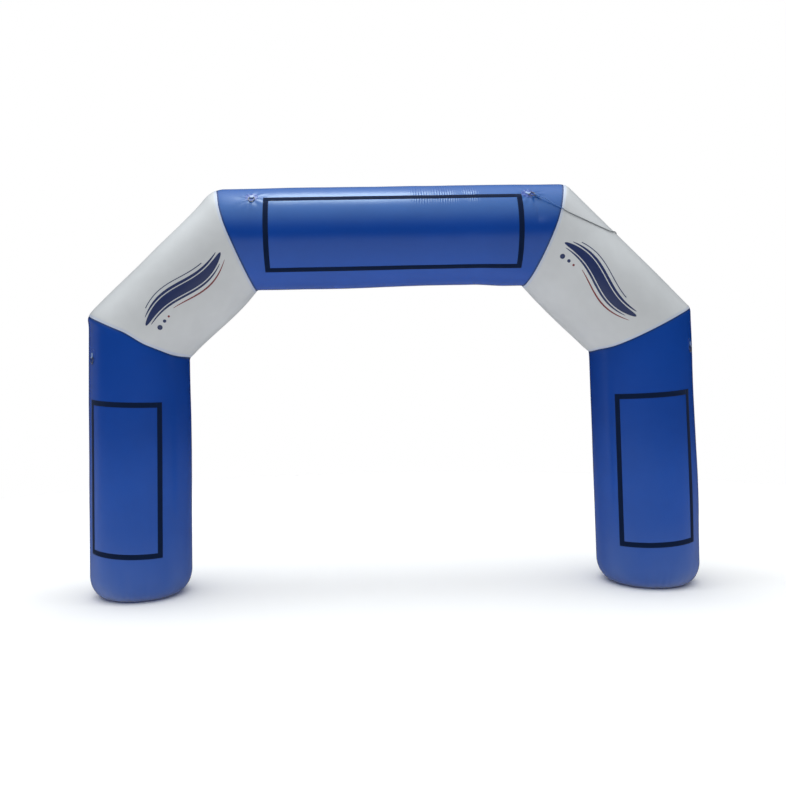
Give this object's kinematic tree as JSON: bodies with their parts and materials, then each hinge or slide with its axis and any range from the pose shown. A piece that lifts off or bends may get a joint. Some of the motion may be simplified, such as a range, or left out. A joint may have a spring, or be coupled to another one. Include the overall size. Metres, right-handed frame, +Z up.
{
  "type": "inflatable arch",
  "caption": "Free-standing inflatable entrance arch of welded blue and white cloth tubes, with tape frames for banners, steel guy rings and a tied-on guy rope.",
  "frame": {"origin": "on the ground, midway between the two legs, in the plane of the tubes' centre lines", "axes": "+Z up, +X along the beam towards the leg with the tied guy rope, -Y towards the front that carries the tape frames"},
  "size_m": [6.1096, 1.2113, 4],
  "materials": {
    "blue_cloth": "glossy coated cloth",
    "white_cloth": "glossy coated cloth",
    "frame_tape": "matt hook and loop tape",
    "ring_steel": "drawn stainless wire",
    "guy_rope": "matt braided rope"
  },
  "bodies": {
    "root": {"base_left": "blue_cloth", "base_right": "blue_cloth", "beam": "blue_cloth", "beam_left_patch": "blue_cloth", "beam_left_ring": "ring_steel", "beam_left_tab": "blue_cloth", "beam_right_patch": "blue_cloth", "beam_right_ring": "ring_steel", "beam_right_tab": "blue_cloth", "beam_tape_end": "frame_tape", "beam_tape_inner": "frame_tape", "beam_tape_outer": "frame_tape", "beam_tape_start": "frame_tape", "diagonal_left": "white_cloth", "diagonal_right": "white_cloth", "guy_rope": "guy_rope", "guy_rope_coil": "guy_rope", "guy_rope_end_knot": "guy_rope", "guy_rope_knot": "guy_rope", "guy_rope_loop": "guy_rope", "leg_left": "blue_cloth", "leg_left_patch": "blue_cloth", "leg_left_ring": "ring_steel", "leg_left_tab": "blue_cloth", "leg_left_tape_end": "frame_tape", "leg_left_tape_inner": "frame_tape", "leg_left_tape_outer": "frame_tape", "leg_left_tape_start": "frame_tape", "leg_right": "blue_cloth", "leg_right_patch": "blue_cloth", "leg_right_ring": "ring_steel", "leg_right_tab": "blue_cloth", "leg_right_tape_end": "frame_tape", "leg_right_tape_inner": "frame_tape", "leg_right_tape_outer": "frame_tape", "leg_right_tape_start": "frame_tape"}
  },
  "joints": []
}
